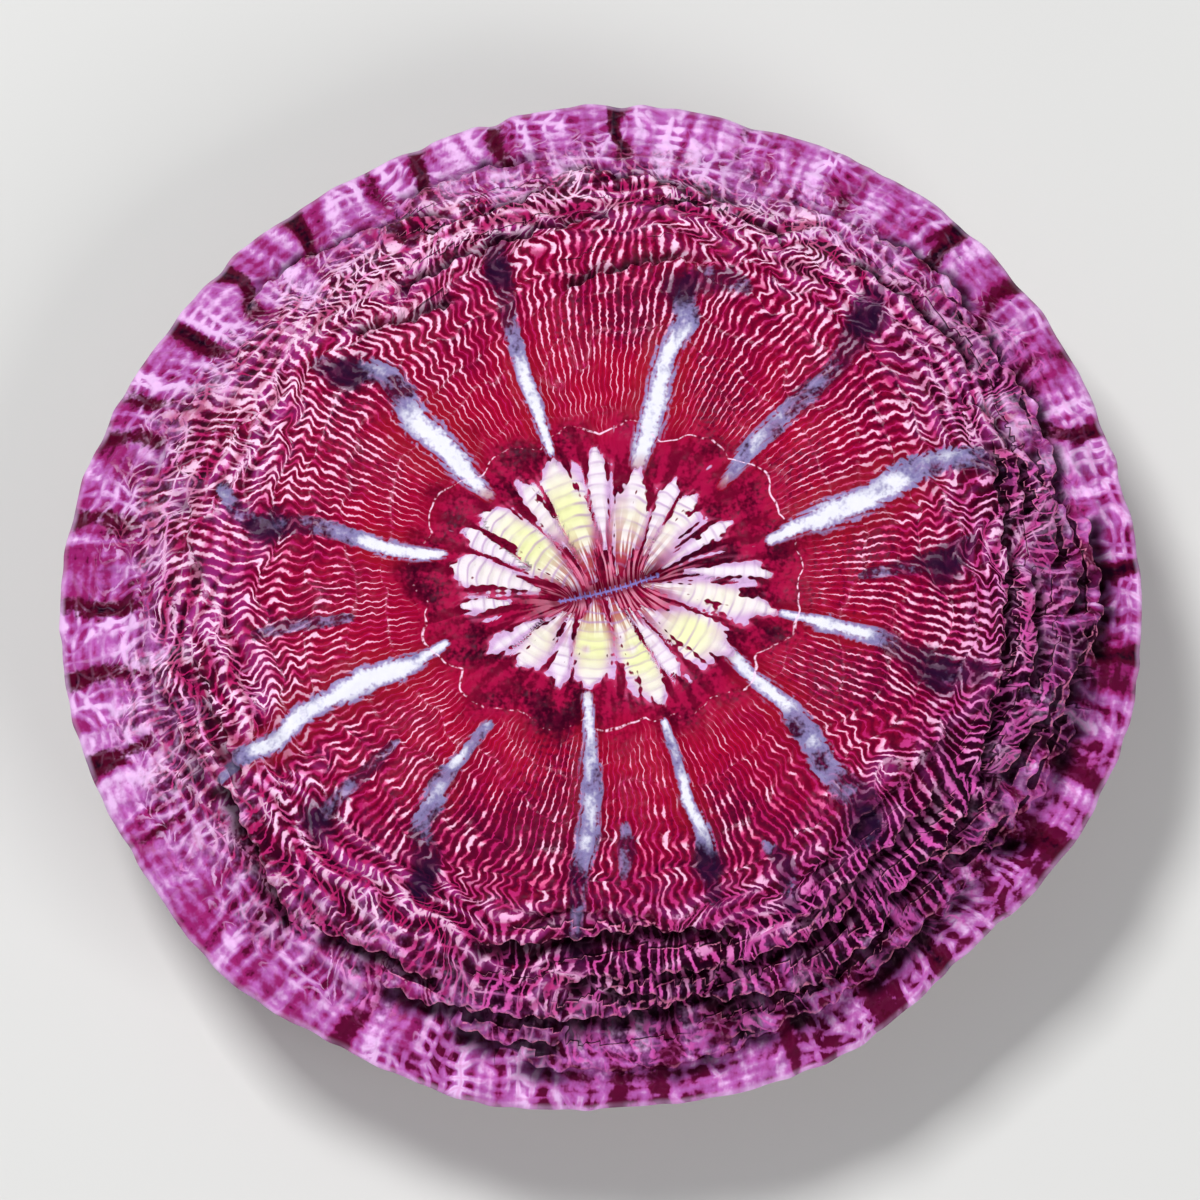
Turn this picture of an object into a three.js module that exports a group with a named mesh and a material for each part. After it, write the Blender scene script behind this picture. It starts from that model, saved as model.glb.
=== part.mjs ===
// A solitary disc coral with its flesh inflated: a domed crown round a mouth slit, a flared skirt with
// furrows, and the ribbed stony cup beneath it, cut off flat where it stands. Millimetres, +Z up.
import * as THREE from "three";

// Driving dimensions
const crownRadius = 42.6; // mean radius of the rim, for a disc 88 mm wide
const crownHeight = 26; // top of the crown above the cut base
const slitLength = 8.2;
const slitWidth = 0.9;
const slitDepth = 1.3;
const slitAngle = 15;
const petalRise = 0.6;
const rayRise = 1.0;
const hollowDepth = 1.2;
const furrowDepth = 0.5;
const furrowWidth = 1.5;
const rimNotch = 0.25; // how far a furrow draws the rim in
const rimWave = 0.7;
const ribCount = 56;
const ribRise = 0.55;
const creaseSwell = 0.8; // share of a crease's height that rises inside its lip, and falls outside it
const swellReach = 1.8;
const dropReach = 1.2;

// Sides round the disc, two for each rib of the cup
const sides = 2 * ribCount;
const crownRings = 34;

// Radius of the rim every 15 degrees from +X, counter-clockwise
const rimRadii = [
  43.5, 43.3, 43.6, 43.6, 43.4, 43.0, 43.0, 42.5, 42.5, 42.8, 43.3, 44.1,
  44.4, 44.1, 43.2, 43.1, 41.8, 41.7, 40.9, 40.9, 41.0, 40.4, 42.0, 43.2,
];

// Profile of the crown from the mouth to the rim: share of the rim's radius, share of the crown's height
const crownProfile = [
  [0, 0.846],
  [0.05, 0.856],
  [0.11, 0.892],
  [0.17, 0.938],
  [0.22, 0.964],
  [0.27, 0.99],
  [0.32, 0.976],
  [0.4, 0.992],
  [0.5, 1],
  [0.59, 0.988],
  [0.67, 0.954],
  [0.73, 0.9],
  [0.78, 0.83],
  [0.83, 0.746],
  [0.88, 0.662],
  [0.93, 0.604],
  [0.97, 0.573],
  [1, 0.538],
];

// Profile of the underside, from under the rim to the cut base and in to the axis
const cupProfile = [
  [0.985, 0.488],
  [0.93, 0.496],
  [0.86, 0.508],
  [0.78, 0.462],
  [0.68, 0.346],
  [0.56, 0.192],
  [0.45, 0.065],
  [0.405, 0],
  [0, 0],
];
const firstWallRing = 3; // rings of cupProfile that carry the ribs
const lastWallRing = 7;

// Petals of the mouth disc: x and y of the root, x and y of the tip, half width
const petals = [
  [-1.3, 1.2, -4.4, 9.3, 1.5],
  [-0.2, 3.4, -1.0, 10.3, 0.75],
  [1.0, 1.6, 2.4, 8.5, 1.4],
  [3.1, 2.8, 5.4, 7.8, 0.75],
  [3.3, 1.6, 6.8, 6.6, 1.2],
  [4.7, 1.5, 9.5, 4.3, 0.65],
  [6.6, 0.8, 12.8, 0.2, 0.6],
  [3.5, 0.1, 12.8, -2.7, 1.0],
  [3.1, -2.3, 9.5, -6.2, 1.6],
  [1.9, -2.3, 5.5, -8.0, 0.75],
  [0.4, -1.3, 4.1, -10.2, 1.2],
  [-0.9, -1.3, -1.5, -8.5, 1.5],
  [-2.9, -2.8, -3.9, -8.6, 0.75],
  [-3.6, -2.6, -6.9, -7.1, 1.2],
  [-5.5, -3.3, -9.2, -6.2, 0.65],
  [-8.0, -2.0, -11.6, -2.5, 0.55],
  [-5.9, -0.6, -12.2, 0.7, 1.1],
  [-6.5, 1.2, -11.2, 3.7, 0.7],
  [-2.4, 0.1, -9.6, 5.0, 1.5],
  [-2.6, 2.6, -6.9, 7.6, 0.9],
];

// Rays where the flesh is stretched over a septum: half width, then degrees and share of the rim's radius
// at each point from the mouth outwards
const rays = [
  { width: 1.5, path: [[145, 0.28], [141, 0.38], [140, 0.47], [138, 0.54]] },
  { width: 0.9, path: [[114, 0.26], [112, 0.38], [111, 0.5], [110, 0.6]] },
  { width: 1.5, path: [[75, 0.25], [75, 0.38], [74, 0.5], [76, 0.58]] },
  { width: 1.0, path: [[39, 0.27], [43, 0.39], [43, 0.54], [45, 0.64]] },
  { width: 1.5, path: [[13, 0.31], [16, 0.42], [18, 0.54], [20, 0.66]] },
  { width: 1.1, path: [[-12, 0.34], [-13, 0.47], [-15, 0.59]] },
  { width: 1.4, path: [[-35, 0.32], [-37, 0.43], [-42, 0.57], [-42, 0.64]] },
  { width: 1.0, path: [[-69, 0.32], [-70, 0.42], [-71, 0.52]] },
  { width: 1.4, path: [[-99, 0.23], [-96, 0.35], [-94, 0.49], [-95, 0.64]] },
  { width: 1.1, path: [[-128, 0.39], [-127, 0.53], [-123, 0.64]] },
  { width: 1.6, path: [[205, 0.4], [204, 0.5], [205, 0.61], [206, 0.74]] },
  { width: 1.1, path: [[220, 0.52], [220, 0.66]] },
  { width: 1.3, path: [[175, 0.32], [172, 0.44], [170, 0.55]] },
  { width: 1.1, path: [[190, 0.48], [189, 0.63]] },
];

// Hollows where the flesh is drawn in at the ends of the rays: degrees, share of the radius, radius
const hollows = [
  [140, 0.63, 2.2],
  [109, 0.63, 1.6],
  [76, 0.57, 1.8],
  [46, 0.69, 2.0],
  [2, 0.62, 2.0],
  [-16, 0.64, 2.2],
  [-44, 0.7, 2.2],
  [-71, 0.6, 1.7],
  [-95, 0.72, 1.8],
  [-121, 0.68, 1.8],
  [220, 0.7, 1.8],
  [171, 0.62, 2.0],
];

// Creases, where the flesh hangs in a ledge: from and to in degrees, share of the rim's radius at the
// start, middle and end, and height of the ledge
const creases = [
  [5, 17, 0.82, 0.84, 0.82, 0.9],
  [-3, 13, 0.85, 0.88, 0.86, 1.3],
  [-14, 3, 0.8, 0.79, 0.78, 1.4],
  [-28, -11, 0.78, 0.75, 0.72, 1.4],
  [-26, -10, 0.82, 0.83, 0.86, 1.2],
  [-40, -26, 0.85, 0.86, 0.86, 1.2],
  [-49, -29, 0.83, 0.82, 0.79, 1.5],
  [-67, -48, 0.85, 0.86, 0.85, 1.4],
  [-84, -51, 0.77, 0.78, 0.8, 1.5],
  [-112, -68, 0.75, 0.7, 0.73, 1.3],
  [-92, -59, 0.79, 0.83, 0.87, 1.4],
  [-111, -78, 0.84, 0.84, 0.83, 1.3],
  [-110, -95, 0.89, 0.89, 0.88, 1.1],
  [205, 228, 0.8, 0.81, 0.86, 0.9],
  [229, 248, 0.84, 0.82, 0.83, 1.0],
  [239, 257, 0.87, 0.86, 0.84, 1.0],
  [187, 207, 0.85, 0.82, 0.82, 0.8],
  [188, 212, 0.76, 0.75, 0.78, 0.8],
  [166, 181, 0.78, 0.76, 0.71, 0.8],
  [148, 166, 0.83, 0.87, 0.84, 0.8],
  [110, 141, 0.78, 0.87, 0.9, 0.9],
  [117, 136, 0.61, 0.62, 0.68, 0.8],
  [96, 118, 0.87, 0.89, 0.89, 0.8],
  [96, 122, 0.8, 0.76, 0.78, 1.0],
  [70, 97, 0.79, 0.8, 0.84, 1.0],
  [87, 127, 0.71, 0.68, 0.68, 0.9],
  [70, 100, 0.64, 0.6, 0.55, 0.8],
  [62, 85, 0.72, 0.75, 0.72, 0.9],
  [38, 56, 0.89, 0.88, 0.85, 0.9],
  [31, 56, 0.8, 0.78, 0.75, 0.8],
  [12, 26, 0.77, 0.78, 0.73, 0.8],
  [12, 30, 0.85, 0.87, 0.88, 0.8],
];

// Furrows of the skirt, in degrees
const furrows = [
  5, 13, 21, 30, 39, 48, 60, 74, 89, 103, 112, 118, 128, 138, 146, 155, 160, 170, 180, 188, 197, 207, 221,
  236, 250, 263, 277, 293, 304, 313, 321, 331, 340, 355,
];

const radians = THREE.MathUtils.degToRad;

// A smooth closed curve through the rim's listed radii: x is the radius, y isn't used
const rimCurve = new THREE.SplineCurve(
  [...rimRadii.slice(-2), ...rimRadii, ...rimRadii.slice(0, 3)].map((radius) => new THREE.Vector2(radius, 0)),
);

// Shortest signed turn from one angle to another, in degrees
function turn(from, to) {
  return THREE.MathUtils.euclideanModulo(to - from + 180, 360) - 180;
}

function bell(distance, width) {
  return Math.exp(-((distance / width) ** 2));
}

function rimRadius(degrees) {
  const position = 2 + (THREE.MathUtils.euclideanModulo(degrees, 360) * rimRadii.length) / 360;
  return rimCurve.getPoint(position / (rimRadii.length + 4)).x - rimNotch * furrowAt(degrees);
}

// How deep in a furrow of the skirt a direction lies, from 0 to 1
function furrowAt(degrees) {
  return Math.max(...furrows.map((at) => bell(radians(turn(at, degrees)) * crownRadius, furrowWidth)));
}

function onDisc([degrees, share]) {
  const radius = share * rimRadius(degrees);
  return new THREE.Vector2(radius * Math.cos(radians(degrees)), radius * Math.sin(radians(degrees)));
}

// Distance from a point to a straight stretch between two others
function distanceTo(point, start, end) {
  const along = end.clone().sub(start);
  const reach = THREE.MathUtils.clamp(point.clone().sub(start).dot(along) / along.lengthSq(), 0, 1);
  return point.distanceTo(start.clone().addScaledVector(along, reach));
}

function petalRelief(point) {
  const rises = petalLines.map(({ root, tip, width }) => {
    return Math.sqrt(Math.max(0, 1 - (distanceTo(point, root, tip) / (1.3 * width)) ** 2));
  });
  return petalRise * Math.max(...rises);
}

function slitRelief(point) {
  const half = 0.5 * slitLength;
  const end = new THREE.Vector2(half * Math.cos(radians(slitAngle)), half * Math.sin(radians(slitAngle)));
  return -slitDepth * bell(distanceTo(point, end.clone().negate(), end), slitWidth);
}

function rayRelief(point) {
  const rises = rayLines.map(({ width, stops }) => {
    const gaps = stops.slice(1).map((stop, index) => distanceTo(point, stops[index], stop));
    return bell(Math.min(...gaps), width);
  });
  return rayRise * Math.max(...rises);
}

function hollowRelief(point) {
  const drops = hollowSpots.map(({ middle, radius }) => bell(point.distanceTo(middle), radius));
  return -hollowDepth * Math.max(...drops);
}

// The flesh swells towards the lip of a crease and drops behind it
function creaseRelief(degrees, share) {
  let height = 0;
  for (const [from, to, start, middle, end, drop] of creases) {
    const along = (turn(0.5 * (from + to), degrees) + 0.5 * (to - from)) / (to - from);
    if (along <= 0 || along >= 1) continue;
    const bow = middle - 0.5 * (start + end);
    const lip = start + (end - start) * along + 4 * bow * along * (1 - along);
    const distance = (share - lip) * crownRadius;
    const fade = Math.min(1, 3 * Math.sin(Math.PI * along));
    const step = distance < 0 ? Math.exp(distance / swellReach) : -Math.exp(-distance / dropReach);
    height += creaseSwell * drop * fade * step;
  }
  return height;
}

// Low swells over the whole crown, from crossing waves
function swell(degrees, share) {
  const angle = radians(degrees);
  const reach = THREE.MathUtils.smoothstep(share, 0.25, 0.5);
  return reach * 0.3 * (Math.sin(7 * angle + 9 * share) + Math.sin(11 * angle - 13 * share + 1.7));
}

// The skirt's furrows and the slow wave of its rim, the same above and below
function skirtRelief(degrees, share) {
  const outward = THREE.MathUtils.smoothstep(share, 0.84, 0.94);
  const angle = radians(degrees);
  const wave = rimWave * Math.sin(5 * angle + 0.8) * Math.cos(3 * angle);
  return outward * (wave - furrowDepth * furrowAt(degrees));
}

function crownRelief(degrees, share) {
  const point = onDisc([degrees, share]);
  const mouthDisc = 1 - THREE.MathUtils.smoothstep(share, 0.33, 0.36);
  const body = 1 - THREE.MathUtils.smoothstep(share, 0.9, 0.99);
  const disc = mouthDisc > 0 ? mouthDisc * (petalRelief(point) + slitRelief(point)) : 0;
  const flesh = rayRelief(point) + hollowRelief(point) + creaseRelief(degrees, share) + swell(degrees, share);
  return disc + body * flesh + skirtRelief(degrees, share);
}

function ribRelief(side) {
  return side % 2 ? -ribRise : ribRise;
}

const petalLines = petals.map(([x0, y0, x1, y1, width]) => {
  return { root: new THREE.Vector2(x0, y0), tip: new THREE.Vector2(x1, y1), width };
});
const rayLines = rays.map(({ width, path }) => ({ width, stops: path.map(onDisc) }));
const hollowSpots = hollows.map(([degrees, share, radius]) => ({ middle: onDisc([degrees, share]), radius }));

// The lathe gives the plain turned body; every vertex is then taken to its place on the living one
function coralGeometry() {
  const crown = new THREE.SplineCurve(crownProfile.map((point) => new THREE.Vector2(...point)));
  const cup = cupProfile.map((point) => new THREE.Vector2(...point));
  const profile = [...crown.getPoints(crownRings), ...cup].reverse();
  const geometry = new THREE.LatheGeometry(profile, sides);
  const place = geometry.getAttribute("position");
  for (let side = 0; side <= sides; side++) {
    const degrees = (360 * (side % sides)) / sides;
    profile.forEach(({ x: share, y: level }, index) => {
      const cupRing = cup.length - 1 - index;
      const onWall = cupRing >= firstWallRing && cupRing <= lastWallRing;
      const onCrown = cupRing < 0;
      const lift = onCrown ? crownRelief(degrees, share) : skirtRelief(degrees, share);
      const radius = share * rimRadius(degrees) + (onWall ? ribRelief(side) : 0);
      place.setXYZ(
        side * profile.length + index,
        share > 0 ? radius * Math.cos(radians(degrees)) : 0,
        share > 0 ? radius * Math.sin(radians(degrees)) : 0,
        level * crownHeight + (share > 0 || onCrown ? lift : 0),
      );
    });
  }
  return geometry;
}

// Puts the origin at the middle of the disc's extent, on the cut base
function centred(geometry) {
  geometry.computeBoundingBox();
  const middle = geometry.boundingBox.getCenter(new THREE.Vector3());
  geometry.translate(-middle.x, -middle.y, -geometry.boundingBox.min.z);
  geometry.computeVertexNormals();
  return geometry;
}

const flesh = new THREE.MeshStandardMaterial({ color: 0xa3184f, roughness: 0.35, metalness: 0 });
const coral = new THREE.Mesh(centred(coralGeometry()), flesh);
coral.name = "coral";

const specimen = new THREE.Group();
specimen.add(coral);
export default specimen;
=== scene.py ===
from math import cos, pi, radians, sin
from types import SimpleNamespace

import bpy
import numpy as np
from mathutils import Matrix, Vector


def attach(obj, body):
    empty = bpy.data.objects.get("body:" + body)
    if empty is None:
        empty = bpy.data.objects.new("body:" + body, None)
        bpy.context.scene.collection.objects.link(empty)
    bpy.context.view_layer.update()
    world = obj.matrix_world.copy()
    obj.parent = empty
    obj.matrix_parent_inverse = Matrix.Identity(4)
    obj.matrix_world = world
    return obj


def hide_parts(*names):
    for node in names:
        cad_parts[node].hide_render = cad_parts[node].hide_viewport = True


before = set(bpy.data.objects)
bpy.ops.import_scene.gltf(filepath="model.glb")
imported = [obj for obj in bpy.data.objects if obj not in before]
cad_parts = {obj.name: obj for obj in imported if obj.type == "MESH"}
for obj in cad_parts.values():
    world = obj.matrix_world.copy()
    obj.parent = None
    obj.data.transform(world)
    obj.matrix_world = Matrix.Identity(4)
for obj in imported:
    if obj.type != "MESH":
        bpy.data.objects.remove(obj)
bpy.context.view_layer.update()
mm = 0.001

# The coral: sizes in mm, directions in degrees counter-clockwise from +X, "share" is a share of the rim's
# radius. All is measured from the middle of the mouth, which stands a little off the centre of the disc.
coral = {
    "crownHeight": 26,
    "meanRadius": 42.6,
    "cells": 264,  # cells along the square grid that is laid on the disc
    "rimRadii": [43.5, 43.3, 43.6, 43.6, 43.4, 43.0, 43.0, 42.5, 42.5, 42.8, 43.3, 44.1,
                 44.4, 44.1, 43.2, 43.1, 41.8, 41.7, 40.9, 40.9, 41.0, 40.4, 42.0, 43.2],  # every 15 degrees
    "rimNotch": 0.12,  # how far each furrow draws the rim in
    "rimRag": 0.14,  # how ragged its edge is
    "rimWave": 0.7,
    # share of the radius, share of the crown's height, from the mouth out
    "crownProfile": [(0, 0.846), (0.05, 0.856), (0.11, 0.892), (0.17, 0.938), (0.22, 0.964), (0.27, 0.99),
                     (0.32, 0.976), (0.4, 0.992), (0.5, 1), (0.59, 0.988), (0.67, 0.954), (0.73, 0.9),
                     (0.78, 0.83), (0.83, 0.746), (0.88, 0.662), (0.93, 0.604), (0.97, 0.573), (1, 0.538)],
    # the same for the underside, from the rim in to the cut base
    "cupProfile": [(1.0, 0.522), (0.994, 0.502), (0.98, 0.489), (0.93, 0.496), (0.86, 0.508), (0.78, 0.462),
                   (0.68, 0.346), (0.56, 0.192), (0.45, 0.065), (0.405, 0)],
    "fleshEnd": 0.83,  # share where the flesh ends on the underside
    "ribCount": 56,
    "ribRise": 0.55,
    "toothRise": 0.18,  # small teeth on the crests of the ribs
    "toothPitch": 2.1,
    "petalRise": 0.5,
    "rayRise": 0.45,
    "hollowDepth": 1.2,
    "linePush": 0.45,  # how much of the way from a hollow's middle the lines are pushed on
    "creaseSwell": 0.8,
    "creasePush": 0.75,
    "creaseEdge": 0.28,  # half width of the drop at a crease's lip
    "swellReach": (1.8, 1.2),  # how far inside and outside the lip the swell dies away
    "pushReach": 0.9,
    "swellRise": 0.3,
    "foldRise": 0.36,
    "foldPitch": 1.9,
    "lumpRise": 0.42,
    "lumpPitch": 1.9,
    "netRise": 0.45,
    "netCount": 88,  # waves of the net round the disc
    "netPitch": 3.1,  # from one wave of it outwards to the next
    "furrowDepth": 0.35,
    "furrowWidth": 1.5,
    "ridgeRise": 0.25,  # small ridges of the skirt
    "ripplePitch": 0.95,
    "seam": 188,  # direction where the count of the lines starts and ends, under a dark bar
    "paleSide": 140,  # direction of the side with fewer lumps and paler lines, where the key lamp is; its paler colour is partly painted light
    "slit": {"length": 8.2, "width": 0.9, "depth": 1.3, "angle": 15},
    "mouthRing": {"radius": 13.2, "stretch": 1.6, "angle": 5, "scallop": 0.9, "scallops": 15},
}

# Petals round the mouth: root and tip in mm, half width, and how yellow it is
petals = [
    (-1.3, 1.2, -4.4, 9.3, 1.5, 1.0), (-0.2, 3.4, -1.0, 10.3, 0.75, 0.0), (1.0, 1.6, 2.4, 8.5, 1.4, 0.4),
    (3.1, 2.8, 5.4, 7.8, 0.75, 0.0), (3.3, 1.6, 6.8, 6.6, 1.2, 0.3), (4.7, 1.5, 9.5, 4.3, 0.65, 0.0),
    (6.6, 0.8, 12.8, 0.2, 0.6, 0.0), (3.5, 0.1, 12.8, -2.7, 1.0, 0.4), (3.1, -2.3, 9.5, -6.2, 1.6, 0.9),
    (1.9, -2.3, 5.5, -8.0, 0.75, 0.0), (0.4, -1.3, 4.1, -10.2, 1.2, 1.0), (-0.9, -1.3, -1.5, -8.5, 1.5, 1.0),
    (-2.9, -2.8, -3.9, -8.6, 0.75, 0.0), (-3.6, -2.6, -6.9, -7.1, 1.2, 0.5),
    (-5.5, -3.3, -9.2, -6.2, 0.65, 0.0), (-8.0, -2.0, -11.6, -2.5, 0.55, 0.0),
    (-5.9, -0.6, -12.2, 0.7, 1.1, 0.2), (-6.5, 1.2, -11.2, 3.7, 0.7, 0.0), (-2.4, 0.1, -9.6, 5.0, 1.5, 1.0),
    (-2.6, 2.6, -6.9, 7.6, 0.9, 0.2),
]

# Rays: points from the mouth out, each with direction, share, half width in mm and tone, which is 0 for
# white, 1 for lilac-blue and 2 for dark
rays = [
    [(145, .27, .8, .3), (143, .33, 1.2, .0), (141, .38, 1.6, .0), (140, .47, 1.6, .3), (138, .52, 1.4, 1.1),
     (137, .56, 1.3, 1.0), (138, .60, 1.4, 1.2), (141, .63, 1.8, 1.7), (142, .68, 1.2, 1.9)],
    [(114, .26, .5, .2), (112, .38, .9, .2), (111, .48, .8, .9), (110, .55, .9, 1.4), (109, .60, 1.1, 1.9),
     (109, .65, 1.2, 2.0), (107, .70, .9, 1.8)],
    [(75, .23, 1.0, .1), (75, .31, 1.4, .2), (75, .38, 1.3, .2), (75, .45, 1.2, .5), (73, .51, 1.2, .9),
     (75, .56, 1.3, 1.6), (72, .60, 1.4, 1.9), (66, .61, 1.2, 1.7)],
    [(39, .27, .5, .6), (43, .39, 1.2, 1.0), (43, .54, 1.1, 1.3), (44, .60, 1.3, 1.9), (46, .67, 1.6, 2.0),
     (48, .74, 1.0, 1.9)],
    [(13, .31, .6, .0), (15, .36, 1.0, .0), (16, .42, 1.4, .0), (17, .50, 1.5, .1), (19, .58, 1.5, .5),
     (20, .65, 1.4, .9), (19, .71, 1.2, 1.1), (16, .76, 1.0, 1.5)],
    [(-12, .33, .5, .1), (-13, .42, .8, .0), (-13, .50, .9, .6), (-14, .55, 1.2, 1.8), (-16, .62, 1.7, 2.0),
     (-14, .69, 1.3, 1.9)],
    [(-33, .28, .8, .0), (-36, .38, .9, .3), (-37, .45, 1.2, .6), (-40, .52, 1.3, .9), (-42, .58, 1.5, 1.1),
     (-42, .64, 1.5, 1.7), (-41, .69, 1.2, 1.9), (-46, .72, 1.2, 1.6)],
    [(-69, .31, .5, .9), (-70, .42, .6, .7), (-71, .48, .8, .3), (-70, .54, .9, .8), (-71, .60, 1.0, 1.6),
     (-72, .67, .8, 1.7)],
    [(-99, .24, .7, .0), (-97, .29, .7, .1), (-95, .36, .9, .9), (-94, .43, 1.1, .8), (-94, .52, 1.1, .9),
     (-95, .60, 1.0, 1.2), (-95, .69, .8, 1.7)],
    [(-128, .36, .5, .8), (-128, .46, .8, .8), (-127, .53, 1.1, .8), (-126, .59, 1.1, 1.2),
     (-122, .64, 1.4, 1.7), (-121, .69, 1.0, 1.9)],
    [(203, .32, .5, .3), (205, .40, 1.0, .2), (204, .46, 1.3, .0), (204, .51, 1.3, .0), (205, .56, 1.2, .6),
     (205, .62, 1.2, .4), (207, .68, 1.0, .3), (206, .74, .9, .6), (207, .80, .7, .9)],
    [(172, .30, .6, .1), (173, .36, .9, .0), (172, .42, .9, .2), (171, .47, .8, 1.0), (170, .54, .9, 1.3),
     (171, .61, 1.0, 1.5), (170, .67, .9, 1.4), (166, .72, .8, 1.2)],
    [(190, .47, .5, 1.4), (189, .56, .8, 1.7), (189, .64, .7, 1.8)],
    [(219, .50, .5, 1.2), (220, .60, .8, 1.6), (220, .70, .8, 1.7)],
    [(0, .47, .5, 1.4), (2, .56, .9, 1.9), (4, .63, 1.5, 2.0), (6, .67, .8, 1.9)],
    [(-60, .61, .5, 1.5), (-59, .67, 1.0, 1.9), (-61, .73, .7, 1.8)],
    [(-86, .50, .5, 1.4), (-86, .55, .9, 1.7), (-87, .60, .5, 1.6)],
]

# Hollows where the flesh is drawn in: direction, share, radius in mm. The lines part around them.
hollows = [
    (140, .63, 2.2), (109, .63, 1.6), (76, .57, 1.8), (46, .69, 2.0), (2, .62, 2.0), (-16, .64, 2.2),
    (-44, .70, 2.2), (-71, .60, 1.7), (-95, .72, 1.8), (-121, .68, 1.8), (220, .70, 1.8), (171, .62, 2.0),
]

# Creases: from and to direction, share at the start, middle and end, height of the ledge in mm
creases = [
    (3, 20, .82, .84, .82, 1.3), (-3, 13, .85, .88, .86, 1.3), (-14, 3, .80, .79, .78, 1.4),
    (-28, -11, .78, .75, .72, 1.4), (-26, -10, .82, .83, .86, 1.2), (-40, -26, .85, .86, .86, 1.2),
    (-49, -29, .83, .82, .79, 1.5), (-67, -48, .85, .86, .85, 1.4), (-84, -51, .77, .78, .80, 1.5),
    (-112, -68, .75, .70, .73, 1.3), (-92, -59, .79, .83, .87, 1.4), (-111, -78, .84, .84, .83, 1.3),
    (-110, -95, .89, .89, .88, 1.1), (205, 228, .80, .81, .86, .9), (229, 248, .84, .82, .83, 1.0),
    (239, 257, .87, .86, .84, 1.0), (187, 207, .85, .82, .82, .6), (188, 212, .76, .75, .78, .6),
    (166, 181, .78, .76, .71, .5), (148, 166, .83, .87, .84, .5), (110, 141, .78, .87, .90, .9),
    (117, 136, .61, .62, .68, .8), (96, 118, .87, .89, .89, .8), (96, 122, .80, .76, .78, 1.0),
    (70, 97, .79, .80, .84, 1.0), (87, 127, .71, .68, .68, .9), (70, 100, .64, .60, .55, .8),
    (62, 85, .72, .75, .72, .9), (38, 56, .89, .88, .85, .9), (31, 56, .80, .78, .75, .8),
    (10, 28, .78, .79, .75, 1.2), (10, 32, .86, .88, .88, 1.1), (-60, -20, .71, .69, .70, .6),
    (-106, -80, .67, .66, .69, .6), (-78, -40, .89, .91, .90, .8), (-44, -12, .91, .90, .91, .7),
    (-104, -66, .92, .93, .91, .7), (-20, 22, .74, .73, .75, 1.2), (20, 46, .84, .86, .84, 1.0),
    (-34, -2, .88, .87, .89, 1.3), (-64, -30, .75, .76, .74, .8), (-8, 12, .91, .92, .91, 1.0),
    (50, 66, .83, .85, .82, .6), (-98, -70, .79, .77, .80, .8),
]

# Furrows of the skirt, and the maroon bars that lie in them: direction, how dark
bars = [
    (5, 1), (13, .6), (21, 1), (30, .6), (39, .6), (48, 1), (60, .6), (74, .7), (89, 1), (103, .8), (112, .9),
    (118, .5), (128, .9), (138, 1), (146, .9), (155, .8), (160, .9), (170, .9), (180, .9), (188, 1), (197, 1),
    (207, .6), (221, .5), (236, .3), (250, .3), (263, .5), (277, .6), (293, .6), (304, .6), (313, .9),
    (321, .6), (331, .9), (340, .6), (355, 1),
]


def bell(distance, width):  # a bell curve: 1 at no distance, 1/e at one width
    return np.exp(-(distance / width) ** 2)


def ease(value, start, end):  # 3 parts squared less 2 parts cubed: 0 at start, 1 at end, level at both
    part = np.clip((value - start) / (end - start), 0, 1)
    return part * part * (3 - 2 * part)


def band(value, start, full, fading, end):  # eases in from start to full, and out from fading to end
    return ease(value, start, full) * (1 - ease(value, fading, end))


def turn(start, end):  # the shorter signed turn between two directions
    return (end - start + 180) % 360 - 180


def smoothCurve(points, steps):
    # A cubic between each two points; the tangent at a point is half the way between its two neighbours
    points = np.array(points, float)
    padded = np.vstack([points[:1], points, points[-1:]])
    part = np.linspace(0, 1, steps, endpoint=False)[:, None]
    stretches = []
    for before, start, end, after in zip(padded, padded[1:], padded[2:], padded[3:]):
        out, into = (end - before) / 2, (after - start) / 2
        stretches.append((2 * start - 2 * end + out + into) * part ** 3
                         + (3 * end - 3 * start - 2 * out - into) * part ** 2 + out * part + start)
    return np.vstack(stretches + [points[-1:]])


tableSize = 128
randomTable = np.random.default_rng(11).uniform(-1, 1, (tableSize, tableSize))


def waver(x, y, seed, pitch=1):
    # Smooth noise from -1 to 1: random values on a lattice of that pitch, blended by eased weights. Each seed
    # starts at another place of the table.
    x, y = x / pitch + 17.3 * seed, y / pitch + 9.7 * seed
    column, row = np.floor(x).astype(int), np.floor(y).astype(int)
    right, up = ease(x - column, 0, 1), ease(y - row, 0, 1)

    def corner(across, above):
        return randomTable[(row + above) % tableSize, (column + across) % tableSize]

    low = corner(0, 0) * (1 - right) + corner(1, 0) * right
    high = corner(0, 1) * (1 - right) + corner(1, 1) * right
    return low * (1 - up) + high * up


def distanceTo(x, y, start, end):  # from points to a straight stretch, and how far along it is nearest
    run, rise = end[0] - start[0], end[1] - start[1]
    along = np.clip(((x - start[0]) * run + (y - start[1]) * rise) / (run * run + rise * rise), 0, 1)
    return np.hypot(x - start[0] - along * run, y - start[1] - along * rise), along


def barAt(degrees):  # the bell across the nearest furrow: 1 in its middle, 0 between the furrows
    reach = coral["meanRadius"] * pi / 180
    return np.max([bell(turn(at, degrees) * reach, coral["furrowWidth"]) for at, _ in bars], axis=0)


def rimRadius(degrees):  # smooth closed curve through the listed radii, less the notches, plus noise
    radii = coral["rimRadii"]
    count = len(radii)
    wrapped = smoothCurve([(360 / count * (i - 2), radii[(i - 2) % count]) for i in range(count + 5)], 12)
    angle = np.radians(degrees)
    ragged = coral["rimRag"] * waver(28 * np.cos(angle), 28 * np.sin(angle), 17)
    notched = coral["rimNotch"] * barAt(degrees)
    return np.interp(degrees % 360, wrapped[:, 0], wrapped[:, 1]) - notched + ragged


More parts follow.
